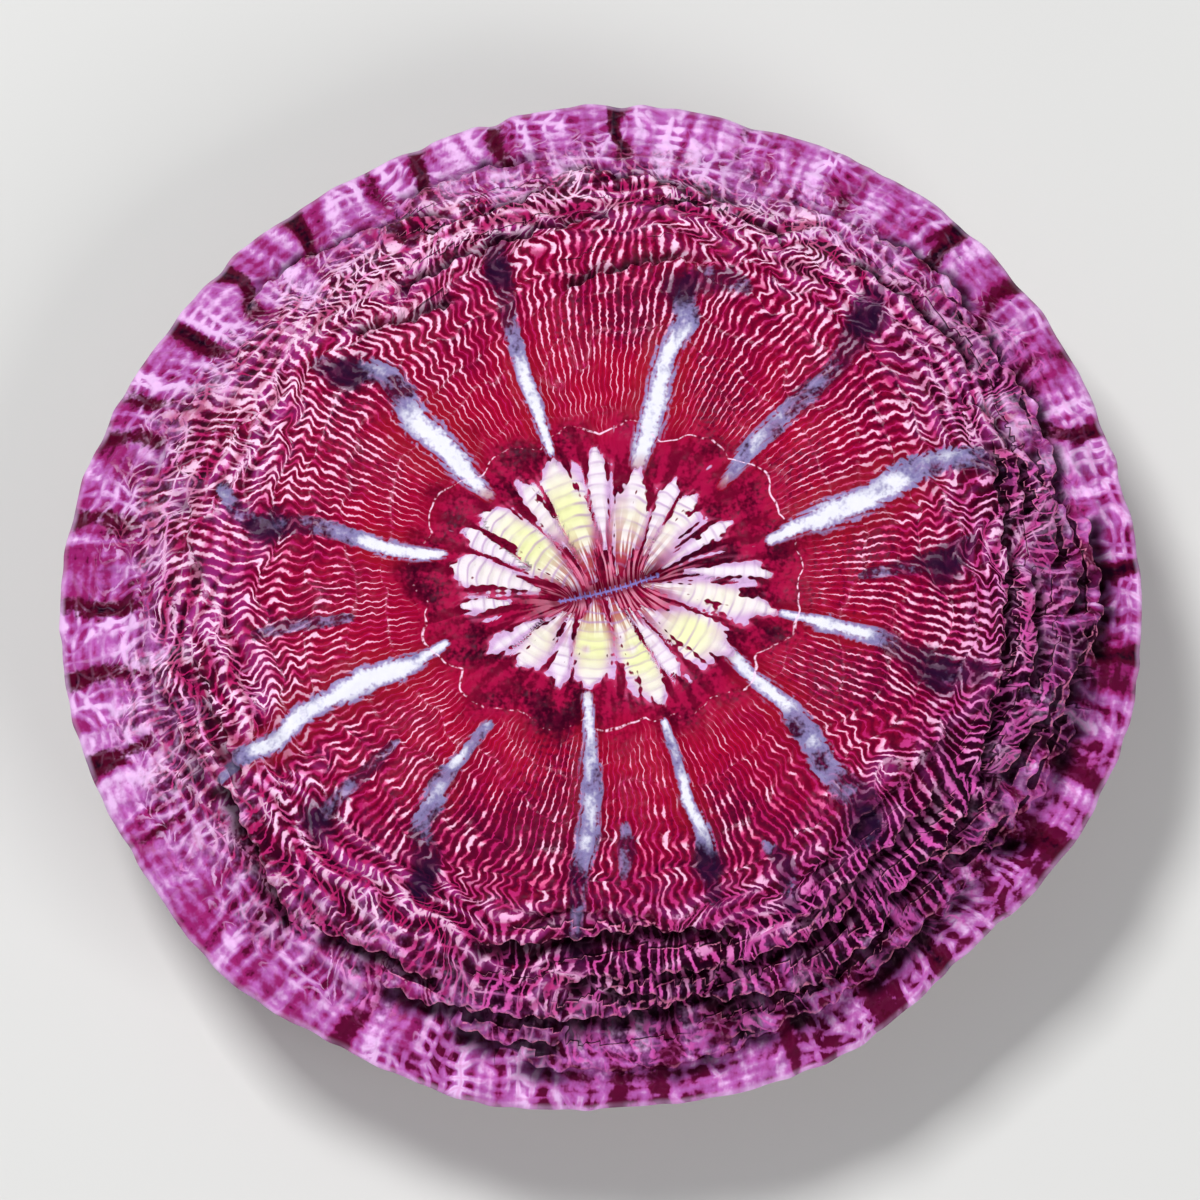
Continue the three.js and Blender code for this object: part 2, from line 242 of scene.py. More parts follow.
def onDisc(degrees, share):  # a direction and a share to x and y in mm
    radius = share * float(rimRadius(np.array([degrees]))[0])
    return radius * cos(radians(degrees)), radius * sin(radians(degrees))


def petalFields(x, y):
    # Across each petal: 1 on its middle line, 0 at its edge, below 0 outside. Its width swells from a thin
    # root and closes at the tip. Also the way along it in mm, and how yellow it is. Where two petals meet,
    # the edge falls with the difference between them, so that a gap stays open.
    edge, run, yellow = np.full_like(x, -1.0), np.zeros_like(x), np.zeros_like(x)
    second = edge.copy()
    for x0, y0, x1, y1, width, gold in petals:
        length = np.hypot(x1 - x0, y1 - y0)
        along = ((x - x0) * (x1 - x0) + (y - y0) * (y1 - y0)) / length ** 2
        aside = ((x - x0) * (y1 - y0) - (y - y0) * (x1 - x0)) / length
        swelling = 0.15 + 0.85 * ease(along, -0.05, 0.5)
        half = 0.12 + 1.2 * width * swelling * (1 - 0.9 * ease(along, 0.82, 1.06))
        here = np.where((along > -0.1) & (along < 1.08), 1 - np.abs(aside) / half, -1)
        here = np.minimum(here, np.minimum((along + 0.1) * 8, (1.08 - along) * 8))
        nearest = here > edge
        second = np.where(nearest, edge, np.maximum(second, here))
        edge = np.where(nearest, here, edge)
        run = np.where(nearest, along * length + 0.12 * aside ** 2, run)
        yellow = np.where(nearest, gold * bell(along - 0.55, 0.32) * ease(here, 0, 0.6), yellow)
    edge = np.where(second > -0.5, np.minimum(edge, 1.6 * (edge - second) - 0.25), edge)
    return np.maximum(edge, -1), run, yellow


def slitFields(x, y):
    # The way from the slit, and the way along it, in mm; and the fan of directions that leave the slit square
    # to it. These are hyperbolas with their foci near its ends: the imaginary part of the inverse hyperbolic
    # cosine of the place.
    slit = coral["slit"]
    lean = radians(slit["angle"])
    tip = (slit["length"] / 2 * cos(lean), slit["length"] / 2 * sin(lean))
    gap, along = distanceTo(x, y, (-tip[0], -tip[1]), tip)
    turned = (x + 1j * y) * np.exp(-1j * lean) / (0.4 * slit["length"])
    return gap, along * slit["length"], np.imag(np.arccosh(turned + 1e-9j))


def rayFields(x, y):
    # 1 on the middle line of the nearest ray, 0 at its edge, below 0 outside, and its tone there
    edge, tone = np.full_like(x, -2.0), np.zeros_like(x)
    for stops in rays:
        curve = smoothCurve([(*onDisc(degrees, share), *rest) for degrees, share, *rest in stops], 4)
        for start, end in zip(curve, curve[1:]):
            distance, along = distanceTo(x, y, start, end)
            here = 1 - distance / (start[2] + along * (end[2] - start[2]))
            nearest = here > edge
            edge = np.where(nearest, here, edge)
            tone = np.where(nearest, start[3] + along * (end[3] - start[3]), tone)
    return edge, tone


def hollowFields(degrees, x, y):
    # A bell round each hollow's middle, and how many degrees the lines are pushed round, away from it
    hollow, lineTurn = np.zeros_like(x), np.zeros_like(x)
    for at, share, size in hollows:
        middle = onDisc(at, share)
        near = bell(np.hypot(x - middle[0], y - middle[1]), size)
        hollow = np.maximum(hollow, near)
        lineTurn -= coral["linePush"] * near * turn(at, degrees)
    return hollow, lineTurn


def creaseFields(degrees, share):
    # The flesh swells towards a crease's lip and drops past it: a steep tanh step at the lip that dies away
    # on both sides. The lip is a bow through its three shares, a little wavy. Gives the rise in mm, the push
    # outwards at the lip, the signed way from the nearest lip in mm (below 0 inside) and its strength.
    rise, push = np.zeros_like(share), np.zeros_like(share)
    gap, strength = np.full_like(share, 9.0), np.zeros_like(share)
    for start, end, first, middle, last, drop in creases:
        along = (turn((start + end) / 2, degrees) + (end - start) / 2) / (end - start)
        inside = (along > 0) & (along < 1)
        bow = middle - (first + last) / 2
        lip = first + (last - first) * along + 4 * bow * along * (1 - along)
        lip = lip + 0.004 * np.sin(degrees * 0.9 + start) + 0.003 * np.sin(degrees * 2.3 + end)
        distance = (share - lip) * coral["meanRadius"]
        fade = np.where(inside, np.minimum(1, 3 * np.sin(pi * np.clip(along, 0, 1))), 0) * drop
        ledge = -np.tanh(distance / coral["creaseEdge"])
        swellReach = np.where(distance < 0, *coral["swellReach"])
        rise += coral["creaseSwell"] * fade * ledge * np.exp(-np.abs(distance) / swellReach)
        push += coral["creasePush"] * fade * ledge * np.exp(-np.abs(distance) / coral["pushReach"])
        nearest = inside & (np.abs(distance) < np.abs(gap)) & (fade > 0.1)
        gap = np.where(nearest, distance, gap)
        strength = np.where(nearest, fade, strength)
    return rise, push, gap, strength


def slopeRelief(angle, share, radius, x, y):
    # Small folds that run round the slope, a sine of the radius whose phase and height noise moves, plus
    # lumps, which are noise. Gives their rise in mm, and the relief that the colours follow, about -1 to 1.
    folds, lumps = band(share, 0.52, 0.7, 0.88, 0.95), band(share, 0.62, 0.78, 0.95, 1)
    phase = radius / coral["foldPitch"] + 1.6 * waver(x, y, 1, 7) + 0.5 * waver(x, y, 2, 2.4)
    foldWave = (0.6 + 0.4 * waver(x, y, 3, 5) + 0.25 * np.cos(angle + radians(40))) * np.sin(2 * pi * phase)
    lumpWave = waver(x, y, 4, coral["lumpPitch"])
    lumpSize = coral["lumpRise"] - 0.2 * np.cos(angle - radians(coral["paleSide"]))
    rise = folds * coral["foldRise"] * foldWave + lumps * lumpSize * lumpWave
    return rise, folds * foldWave + 0.4 * lumps * lumpWave


def netWaves(angle, radius, x, y, warp=1):
    # One wave round the disc and one outwards, both warped by noise: a thread runs wherever one of them is 0
    around = warp * (2.4 * waver(x, y, 20, 2.9) + 1.1 * waver(x, y, 21, 1.3))
    outwards = warp * (3 * waver(x, y, 22, 3.3) + 1.3 * waver(x, y, 23, 1.5))
    return np.sin(coral["netCount"] * angle + around), np.sin(2 * pi * radius / coral["netPitch"] + outwards)


def mottleFields(x, y):  # three noises round 0.5: spots of 1.7 mm, patches of 6 mm and specks of 0.9 mm
    return 0.5 + 0.3 * waver(x, y, 14, 1.7), 0.5 + 0.4 * waver(x, y, 15, 6), 0.5 + 0.3 * waver(x, y, 16, 0.9)


def skirtFields(lineAngle, reach, x, y):
    # Streaks that run outwards and slow washes of tone, both noise round 0.5 over the count of the lines and
    # the radius; and ripples that run round the disc, a sine of the radius whose phase noise moves
    along = lineAngle / (2 * pi) * flesh["lines"]
    streaks = 0.5 + 0.28 * waver(1.2 * along, reach * 0.2, 30) + 0.2 * waver(2.3 * along, reach * 0.35, 31)
    wash = 0.5 + 0.28 * waver(0.35 * along, reach * 0.3, 32)
    phase = 2 * pi * reach / coral["ripplePitch"] + 2.1 * waver(x, y, 14, 1.7) + 0.6 * waver(x, y, 16, 0.9)
    return streaks, wash, np.sin(phase)


def skirtRise(degrees, share):  # slow wave of the rim, less the skirt's furrows, the same above and below
    angle = np.radians(degrees)
    wave = coral["rimWave"] * np.sin(5 * angle + 0.8) * np.cos(3 * angle)
    return ease(share, 0.84, 0.94) * (wave - coral["furrowDepth"] * barAt(degrees))


def barShade(degrees, share):
    # How maroon the skirt is: a bell across the strongest bar. Its width and its middle wander with the
    # share, the middle more towards the dome, where the bar fades out.
    shade = np.zeros_like(share)
    for at, strength in bars:
        wander = 1.4 * waver(share * 16 + at, at, 9)
        width = 1.15 + 0.4 * waver(share * 22 + at * 3, at, 10)
        aside = turn(at, degrees) * pi / 180 * coral["meanRadius"] + wander * (1 - share) * 12
        shade = np.maximum(shade, strength * bell(aside, width))
    return shade * ease(share, 0.8, 0.9)


def crownSurface(degrees, share):
    # Height over the plane of the base, and radius, of the upper surface; and every field that the flesh's
    # material follows. Height = profile + petals - slit + rays - hollows + creases + swells + folds and lumps
    # + skirt + its ridges + net; radius = share of the rim + the creases' push.
    angle = np.radians(degrees)
    reach = share * rimRadius(degrees)
    x, y = reach * np.cos(angle), reach * np.sin(angle)
    body = 1 - ease(share, 0.9, 0.99)  # all but the rim
    profile = smoothCurve(coral["crownProfile"], 16)
    height = coral["crownHeight"] * np.interp(share, profile[:, 0], profile[:, 1])

    petalEdge, petalRun, petalYellow = petalFields(x, y)
    slitGap, slitRun, fan = slitFields(x, y)
    petalRise = coral["petalRise"] * ease(petalEdge, -0.5, 0.7)
    slitDrop = coral["slit"]["depth"] * bell(slitGap, coral["slit"]["width"])
    height += (1 - ease(share, 0.33, 0.36)) * (petalRise - slitDrop)

    rayEdge, rayTone = rayFields(x, y)
    hollow, lineTurn = hollowFields(degrees, x, y)
    creaseRise, push, gap, strength = creaseFields(degrees, share)
    rayRise = coral["rayRise"] * (1 - np.clip(rayTone - 1, 0, 1)) * ease(rayEdge, -0.9, 0.8)
    swells = np.sin(7 * angle + 9 * share) + np.sin(11 * angle - 13 * share + 1.7)
    swellRise = coral["swellRise"] * ease(share, 0.25, 0.5) * swells
    unevenness = 0.18 * ease(share, 0.3, 0.5) * waver(x, y, 5, 3)
    height += body * (rayRise - coral["hollowDepth"] * hollow + creaseRise + swellRise + unevenness)
    radius = reach + body * push

    slopeRise, relief = slopeRelief(angle, share, radius, x, y)
    netA, netB = netWaves(angle, radius, x, y)
    netRise = coral["netRise"] * (0.4 - np.minimum(np.abs(netA), np.abs(netB)))
    ridges = coral["ridgeRise"] * waver(22 * np.cos(angle) + share * 5, 22 * np.sin(angle), 6)
    height += slopeRise + band(share, 0.72, 0.86, 0.96, 1) * netRise
    height += skirtRise(degrees, share) + band(share, 0.84, 0.91, 0.985, 1) * ridges

    lineTurn += np.degrees(0.9 / np.maximum(radius, 6)) * waver(x, y, 7, 3.6) * ease(share, 0.4, 0.72)
    lineAngle = np.radians(degrees + lineTurn + 180 - coral["seam"])
    ring = coral["mouthRing"]
    ringWay = ring["radius"] + ring["stretch"] * np.cos(2 * (angle - radians(ring["angle"])))
    ringWay += ring["scallop"] * np.abs(np.sin(ring["scallops"] / 2 * angle + 0.4)) + 0.5 * waver(x, y, 8, 2)
    return height, radius, {
        "flow": (reach * np.cos(lineAngle), reach * np.sin(lineAngle), share),
        "rays": (rayEdge, rayTone, hollow),
        "petals": (petalEdge, petalRun, petalYellow),
        "folds": (gap, strength, barShade(degrees, share)),
        "mouth": (slitGap, slitRun, reach - ringWay),
        "fan": (np.cos(fan), np.sin(fan), netA),
        "mottle": mottleFields(x, y),
        "zones": (relief, np.cos(angle - radians(coral["paleSide"])), netB),
        "cup": (0, share, 0),
        "skirt": skirtFields(lineAngle, reach, x, y),
    }


def cupSurface(degrees):
    # Rings of the underside from the rim to the cut base: the rim's radius times the profile, plus the cup's
    # ribs, a wave round it that is sharper on its crests, and teeth on them, a wave down the wall; both fade
    # in from where the flesh ends. More of the profile's steps become rings on the wall than on the flesh.
    curve = smoothCurve(coral["cupProfile"], 8)
    curve = curve[[4, 8, 12, 16, 24, 28, 32, *range(35, 72, 2), 72]]
    share, level = curve[:, :1], curve[:, 1:]
    wall = ease(share, 0.82, 0.74)
    ribAngle = np.radians(coral["ribCount"] * degrees)
    rib = coral["ribRise"] * (0.7 * np.cos(ribAngle) + 0.3 * np.cos(2 * ribAngle))
    phase = 2 * pi * share * coral["meanRadius"] / coral["toothPitch"] + 3 * waver(degrees / 7, share * 9, 12)
    teeth = coral["toothRise"] * np.clip(np.cos(ribAngle), 0, 1) * np.sin(phase) * (level > 0) * (share < 0.8)
    height = level * coral["crownHeight"] + skirtRise(degrees, share) * (1 - wall)
    return height, share * rimRadius(degrees) + wall * (rib + teeth), share * np.ones_like(degrees)


def cupFields(degrees, share):
    # The crown's fields carried on under the rim, where each is as if far from any petal, ray or crease
    angle = np.radians(degrees)
    reach = share * rimRadius(degrees)
    x, y = reach * np.cos(angle), reach * np.sin(angle)
    lineAngle = np.radians(degrees + 180 - coral["seam"])
    netA, netB = netWaves(angle, reach, x, y, 0)
    return {
        "flow": (reach * np.cos(lineAngle), reach * np.sin(lineAngle), np.maximum(share, 0.93)),
        "rays": (-2, 0, 0),
        "petals": (-1, 0, 0),
        "folds": (9, 0, barShade(degrees, np.maximum(share, 0.9))),
        "mouth": (9, 0, 9),
        "fan": (1, 0, netA),
        "mottle": mottleFields(x, y),
        "zones": (0, np.cos(angle - radians(coral["paleSide"])), netB),
        "cup": (np.cos(coral["ribCount"] * angle), share, 0),
        "skirt": skirtFields(lineAngle, reach, x, y),
    }


def discGrid(cells):
    # A square grid laid on a disc: the larger of the two sides gives the ring, their ratio the direction.
    # The rings stand closer in the middle and on the slope, where there is more to show.
    side = np.linspace(-1, 1, cells + 1)
    across, up = np.meshgrid(side, side)
    ring = np.maximum(np.abs(across), np.abs(up))
    wide = np.abs(across) >= np.abs(up)
    longer = np.where(ring == 0, 1, np.where(wide, across, up))
    ratio = 45 * np.where(wide, up, across) / longer
    degrees = np.where(wide, ratio, 90 - ratio) + 180 * (longer < 0)
    steps = np.linspace(0, 1, 400)
    spacing = 1 - 0.3 * bell(steps - 0.08, 0.2) - 0.25 * bell(steps - 0.8, 0.14)
    spacing += 0.35 * bell(steps - 0.47, 0.13)
    reach = np.append(0, np.cumsum(spacing[1:] + spacing[:-1]))
    return degrees % 360, np.interp(ring, steps, reach / reach[-1])


def gridFaces(index):  # quads between neighbouring rows and columns of an index grid
    return np.stack([index[:-1, :-1], index[:-1, 1:], index[1:, 1:], index[1:, :-1]], -1).reshape(-1, 4)


def storeFields(mesh, count, crown, cup):
    # Each field's three numbers as a vector at every point: the crown's, the cup's, and 0 at the cut's centre
    for name in crown:
        values = np.zeros((len(mesh.vertices), 3), np.float32)
        for column, (onCrown, onCup) in enumerate(zip(crown[name], cup[name])):
            values[:count, column] = np.ravel(onCrown)
            values[count:-1, column] = np.ravel(onCup)
        mesh.attributes.new(name, "FLOAT_VECTOR", "POINT").data.foreach_set("vector", values.ravel())


def buildCoral():
    # One closed skin: the crown's grid, the rings of the underside joined to its edge, and a fan over the cut
    # base. Its first slot is the flesh and its second the bare stone.
    degrees, share = discGrid(coral["cells"])
    height, radius, crownFields = crownSurface(degrees, share)
    index = np.arange(degrees.size).reshape(degrees.shape)
    edge = np.concatenate([index[0, :-1], index[:-1, -1], index[-1, :0:-1], index[:0:-1, 0]])
    cupHeight, cupRadius, cupShare = cupSurface(degrees.ravel()[edge])
    cupDegrees = np.broadcast_to(degrees.ravel()[edge], cupShare.shape)
    centre = degrees.size + cupShare.size
    loops = np.vstack([edge, np.arange(degrees.size, centre).reshape(cupShare.shape)])
    loops = np.hstack([loops, loops[:, :1]])

    angle = np.radians(np.append(degrees, cupDegrees))
    reach = np.append(radius, cupRadius)
    places = np.stack([reach * np.cos(angle), reach * np.sin(angle), np.append(height, cupHeight)], 1)
    places = np.vstack([places, [[0, 0, 0]]])
    crownFaces, ringFaces = gridFaces(index), gridFaces(loops.T)
    cutFaces = np.stack([np.full(len(edge), centre), loops[-1, 1:], loops[-1, :-1]], 1)
    mesh = bpy.data.meshes.new("coral_flesh")
    mesh.from_pydata(places.tolist(), [], crownFaces.tolist() + ringFaces.tolist() + cutFaces.tolist())
    mesh.validate()

    # the origin is on the base, under the middle of the disc's extent
    middle = (places.min(0) + places.max(0)) / 2 * [1, 1, 0]
    mesh.vertices.foreach_set("co", ((places - middle) * mm).astype(np.float32).ravel())
    storeFields(mesh, degrees.size, crownFields, cupFields(cupDegrees, cupShare))

    stoneRings = np.tile(cupShare[:, 0] < coral["fleshEnd"], len(edge))
    slots = np.concatenate([np.zeros(len(crownFaces)), stoneRings, np.ones(len(cutFaces))])
    mesh.polygons.foreach_set("material_index", slots.astype(np.int32))
    mesh.polygons.foreach_set("use_smooth", np.ones(len(mesh.polygons), bool))
    mesh.update()
    piece = bpy.data.objects.new("coral_flesh", mesh)
    bpy.context.scene.collection.objects.link(piece)
    triangles = sum(len(face.vertices) - 2 for face in mesh.polygons)
    print("coral:", len(places), "points,", triangles, "triangles")
    return piece, Vector(-middle) * mm


class Wire:
    # One output of a node, with arithmetic: each operator adds the Math node that does it
    def __init__(self, shader, socket):
        self.shader, self.socket = shader, socket

    def math(self, operation, *others):  # one Math node on this output
        return self.shader.math(operation, self, *others)

    def __add__(self, other):
        return self.math("ADD", other)

    def __sub__(self, other):
        return self.math("SUBTRACT", other)

    def __rsub__(self, other):
        return self.shader.math("SUBTRACT", other, self)

    def __mul__(self, other):
        return self.math("MULTIPLY", other)

    def __truediv__(self, other):
        return self.math("DIVIDE", other)

    __radd__ = __add__  # a sum and a product are the same from either side
    __rmul__ = __mul__


class Shader:
    # A material's node tree, with one method that adds any node
    def __init__(self, name):
        self.material = bpy.data.materials.new(name)
        self.material.use_nodes = True
        self.tree = self.material.node_tree
        self.tree.nodes.clear()

    def add(self, kind, settings, sockets, output=0):  # a node by its kind; its sockets take values or links
        node = self.tree.nodes.new("ShaderNode" + kind)
        for name, value in settings.items():
            setattr(node, name, value)
        for name, value in sockets.items():
            if isinstance(value, Wire):
                self.tree.links.new(value.socket, node.inputs[name])
            else:
                node.inputs[name].default_value = value
        return Wire(self, node.outputs[output])

    def math(self, operation, *values):  # a Math node on these values or links
        return self.add("Math", {"operation": operation}, dict(enumerate(values)))

    def split(self, vector):  # the three numbers of a vector
        first = self.add("SeparateXYZ", {}, {"Vector": vector})
        return [Wire(self, output) for output in first.socket.node.outputs]

    def parts(self, name):  # the three numbers of a vector attribute
        return self.split(self.add("Attribute", {"attribute_name": name}, {}, "Vector"))

    def finish(self, colour, roughness, height, constants):  # the surface, bumped by a height in m if given
        sockets = {"Base Color": colour, "Roughness": roughness, **constants}
        if height is not None:
            sockets["Normal"] = self.add("Bump", {}, {"Height": height, "Distance": 1.0, "Strength": 1.0})
        surface = self.add("BsdfPrincipled", {}, sockets)
        output = self.tree.nodes.new("ShaderNodeOutputMaterial")
        self.tree.links.new(surface.socket, output.inputs["Surface"])
        return self.material


def step(value, start, end, low=0.0, high=1.0):  # eased from low to high as the value goes from start to end
    return value.shader.add("MapRange", {"interpolation_type": "SMOOTHSTEP"}, {
        "Value": value, "From Min": start, "From Max": end, "To Min": low, "To Max": high})


def blend(mask, under, over):  # under where the mask is 0, over where it is 1
    # the node's colours come in by its sockets 6 and 7, and go out by 2
    return mask.shader.add("Mix", {"data_type": "RGBA"}, {0: mask, 6: under, 7: over}, 2)


def flatNoise(x, y, detail):  # noise over two numbers, round 0.5
    place = x.shader.add("CombineXYZ", {}, {"X": x, "Y": y})
    sockets = {"Vector": place, "Scale": 1.0, "Detail": detail}
    return x.shader.add("TexNoise", {"noise_dimensions": "2D"}, sockets)


def chance(number):  # a random value from 0 to 1 for each number
    return number.shader.add("TexWhiteNoise", {"noise_dimensions": "1D"}, {"W": number}, "Value")


def fromMiddle(count):  # how far a count is from the middle of its whole step: 0 to 0.5
    return (count.math("FRACT") - 0.5).math("ABSOLUTE")


def ink(code):  # a colour written as on the web, turned to linear light
    values = [int(code[i:i + 2], 16) / 255 for i in (0, 2, 4)]
    return (*[v / 12.92 if v <= 0.04045 else ((v + 0.055) / 1.055) ** 2.4 for v in values], 1)


def inks(**codes):  # several colours by their names
    return {name: ink(code) for name, code in codes.items()}


flesh = {
    "lines": 216,  # thin pale lines round the disc
    "linePitch": 3.3,  # mm from one fold that hooks the lines to the next
    "finePerMm": 2.6,
    "bumpsPerMm": 1.5,
    "bumpRise": 0.1,  # in mm
    "petalRibPitch": 0.85,  # in mm
    "petalRibRise": 0.03,
    "stitchPitch": 0.42,
    "gloss": {"Specular IOR Level": 0.06, "Specular Tint": (1, 0.45, 0.7, 1)},
    # the slope and its lines
    **inks(scarlet="a8062c", crimson="880430", maroon="4c0426", night="180014", rose="b01c60"),
    **inks(linePink="e0588c", lineWhite="f8d0ec", lineViolet="f090d4", lineDeep="d458b0"),
    **inks(violet="b0308c", shadow="0c0108", lip="e884ac"),
    # the skirt and the rays
    **inks(skirt="b45cae", skirtPale="ecbef0", skirtRose="942068", bar="500424"),
    **inks(rayWhite="e2e2ee", rayLilac="9080b2", rayBlue="8078a8", rayDark="1c0a2a", rayRust="901420"),
    # the mouth
    **inks(petal="ebe0ea", petalLilac="cc9cd4", petalYellow="e8ecb0", petalRib="b084bc"),
    **inks(heart="6c0428", heartBright="a00c40", vein="dc90ac", slit="8680cc"),
}


def surfaceNoise(at, perMm, detail):  # noise over the object's own x and y, seen from above
    return flatNoise(at.placeX * (perMm / mm), at.placeY * (perMm / mm), detail)


def fleshFields(shader):
    # The shape's fields as shader values, and what several layers of the colour share
    at = SimpleNamespace()
    at.flowX, at.flowY, at.share = shader.parts("flow")
    at.rayEdge, at.rayTone, at.hollow = shader.parts("rays")
    at.petalEdge, at.petalRun, at.petalYellow = shader.parts("petals")
    at.gap, at.strength, at.bar = shader.parts("folds")
    at.slitGap, at.slitRun, at.ringGap = shader.parts("mouth")
    at.middle, at.broad, at.small = shader.parts("mottle")
    at.relief, at.side, netB = shader.parts("zones")
    at.streaks, at.wash, at.ripple = shader.parts("skirt")
    fanX, fanY, netA = shader.parts("fan")
    at.placeX, at.placeY, _ = shader.split(shader.add("TexCoord", {}, {}, "Object"))
    at.radius = (at.flowX * at.flowX + at.flowY * at.flowY).math("SQRT")
    at.fine = surfaceNoise(at, flesh["finePerMm"], 1.0)
    at.streak = flatNoise(fanY.math("ARCTAN2", fanX) * 13, at.radius * 0.3, 1.0)  # leaves the slit as a fan
    at.cell = netA.math("ABSOLUTE").math("MINIMUM", netB.math("ABSOLUTE")) + (at.fine - 0.5) * 0.25
    at.outward = step(at.share, 0.36, 0.72)
    at.onSlope = step(at.share + (at.broad - 0.5) * 0.12, 0.6, 0.76)
    at.outer = step(at.share + (at.broad - 0.5) * 0.2, 0.68, 0.82)
    # Painted shade: darker towards the bottom, on the slope turned down from the key lamp
    at.below = step(at.flowY, -8.0, -24.0)
    # Painted shade on the lower right, turned from the key lamp: deeper pink lines, darker gaps; partly the
    # flesh's own magenta
    at.deep = step(at.side + (at.middle - 0.5) + (at.broad - 0.5), 0.3, -0.9) * step(at.share, 0.58, 0.78)
    at.ribWave = (at.petalRun * (2 * pi / flesh["petalRibPitch"])).math("SINE")
    return at


def lineFields(at):
    # Lines: the direction, warped by noise, is counted in lines and shifted by a wave that runs with the
    # radius. Each has a pale thread, a rose halo and a darker gap, from its middle outwards. Folds run round
    # the disc; between two of them the lines run straight on, and near one they hook sideways.
    foldPlace = at.radius / flesh["linePitch"] + at.broad * 1.7 + at.middle * 0.9
    lean = chance(foldPlace.math("FLOOR")) - 0.5
    at.foldWay = (foldPlace.math("FRACT") - 0.5) * 2
    hook = at.foldWay * at.foldWay * at.foldWay * lean * at.outward * 3.5

    around = at.flowY.math("ARCTAN2", at.flowX) * (flesh["lines"] / (2 * pi))
    run = 30 * (1 - (at.radius * (-1 / 34)).math("EXPONENT"))  # its waves grow longer outwards
    swing = (run + at.broad * 2.6 + at.middle * 0.8 + at.small * 0.3).math("PINGPONG", 0.5)
    wave = step(swing, 0.0, 0.5, -1.0, 1.0)
    swayed = step(at.broad + (at.small - 0.5) * 0.8, 0.3, 0.75, 0.15, 1.7)
    drift = around + (at.fine - 0.5) * 0.4 + (at.small - 0.5) * 0.6 + hook + lean * 5
    count = drift + wave * (step(at.share, 0.42, 0.8, 0.1, 0.48) * swayed)
    number = count.math("FLOOR").math("FLOORED_MODULO", flesh["lines"])
    at.off = fromMiddle(count)
    at.own = chance(number)
    dash = flatNoise(number * 3.7, at.radius * 0.9, 0.0)
    width = (0.05 + at.outward * 0.07) * (0.2 + dash * 1.4 + step(wave, 0.3, 1.0) * 0.6)
    at.kept = step(dash + at.own * 0.4 + at.relief * 0.15 + at.side * 0.04 - at.below * 0.2, 0.38, 0.86)
    at.thread = step(at.off, width * 1.7, width * 0.6)
    at.halo = step(at.off, width * 3.2, width * 0.8)


def lineColour(at):
    # Rose where a line fades, and rose as painted shade where it lies low; pink or violet where it shows,
    # white on the crests as a painted highlight, and a deeper pink on the side turned from the key lamp,
    # partly painted shade
    colour = blend(at.onSlope, flesh["linePink"], flesh["lineViolet"])
    colour = blend(step(at.kept, 0.0, 0.5), flesh["rose"], colour)
    bright = step(at.kept + (at.small - 0.5) * 0.4, 0.5, 1.0) * (at.outward * 0.3 + 0.6)
    colour = blend(bright, colour, flesh["lineWhite"])
    # Painted shade: rose where the relief lies low; painted highlight: white on its crests, more on the
    # lamp's side
    colour = blend(step(at.relief, 0.15, -0.5) * at.onSlope * 0.85, colour, flesh["rose"])
    crest = step(at.relief + at.side * 0.1, 0.05, 0.5)
    colour = blend(crest * at.onSlope * 0.75, colour, flesh["lineWhite"])
    return blend(at.deep * step(at.own, 0.3, 0.9, 0.95, 0.5), colour, flesh["lineDeep"])


def slopeColour(at):
    # Scarlet at the mouth, crimson and then maroon outwards, dark between the lines and in patches; painted
    # shade on the outer side of each fold, in the relief's troughs and, partly, in the net's hollow cells;
    # violet on what stands up, partly painted light; over it the lines, the folds' crests and the net between
    # the hollow cells
    ground = blend(step(at.share + (at.middle - 0.5) * 0.3, 0.28, 0.6), flesh["scarlet"], flesh["crimson"])
    ground = blend(step(at.share + (at.broad - 0.5) * 0.3, 0.62, 0.95), ground, flesh["maroon"])
    ground = blend(step(at.off, 0.2, 0.45) * (at.outward * 0.3 + 0.25), ground, flesh["night"])
    patchy = step(at.broad + (at.fine - 0.5) * 0.8 - at.below * 0.3, 0.42, 0.1)
    ground = blend(patchy * 0.7, ground, flesh["maroon"])
    # Painted shade on the outer side of each fold that hooks the lines
    foldShade = step(at.foldWay, 0.4, 0.9) * at.outward * step(at.middle, 0.4, 0.6, 0.1, 0.8)
    ground = blend(foldShade, ground, flesh["night"])
    colour = blend(at.halo * (at.own * 0.5 + at.outward * 0.5 - at.below * 0.3), ground, flesh["rose"])
    # Violet on what stands up: partly the flesh's own magenta, partly painted light
    raised = step(at.relief + (at.middle - 0.5) * 2, -0.2, 0.8)
    colour = blend(raised * at.onSlope * 0.85, colour, flesh["violet"])
    # Painted shade in the relief's troughs, and between the lines on the side turned from the key lamp
    troughShade = step(at.relief, -0.05, -0.65) * at.onSlope * 0.95
    troughShade = troughShade.math("MAXIMUM", at.deep * step(at.off, 0.0, 0.3) * 0.95)
    colour = blend(troughShade, colour, flesh["night"])
    # The net's hollow cells: maroon, partly the flesh's own colour and partly painted shade, darker on the
    # shaded side
    cellColour = blend(at.deep * 0.5 + 0.5, flesh["maroon"], flesh["night"])
    colour = blend(step(at.cell, 0.35, 0.7) * at.outer * 0.8, colour, cellColour)

    crest = step(at.foldWay.math("ABSOLUTE"), 0.86, 0.97) * step(at.fine + at.middle * 0.4, 0.55, 0.75)
    net = step(at.cell, 0.3, 0.06) * at.outer * step(at.middle + at.side * 0.1, 0.3, 0.5)
    threads = at.thread.math("MAXIMUM", net).math("MAXIMUM", crest * (at.onSlope * 0.7 + 0.15))
    return blend(threads * step(at.ringGap + (at.middle - 0.5) * 3, 0.2, 2.2), colour, lineColour(at))


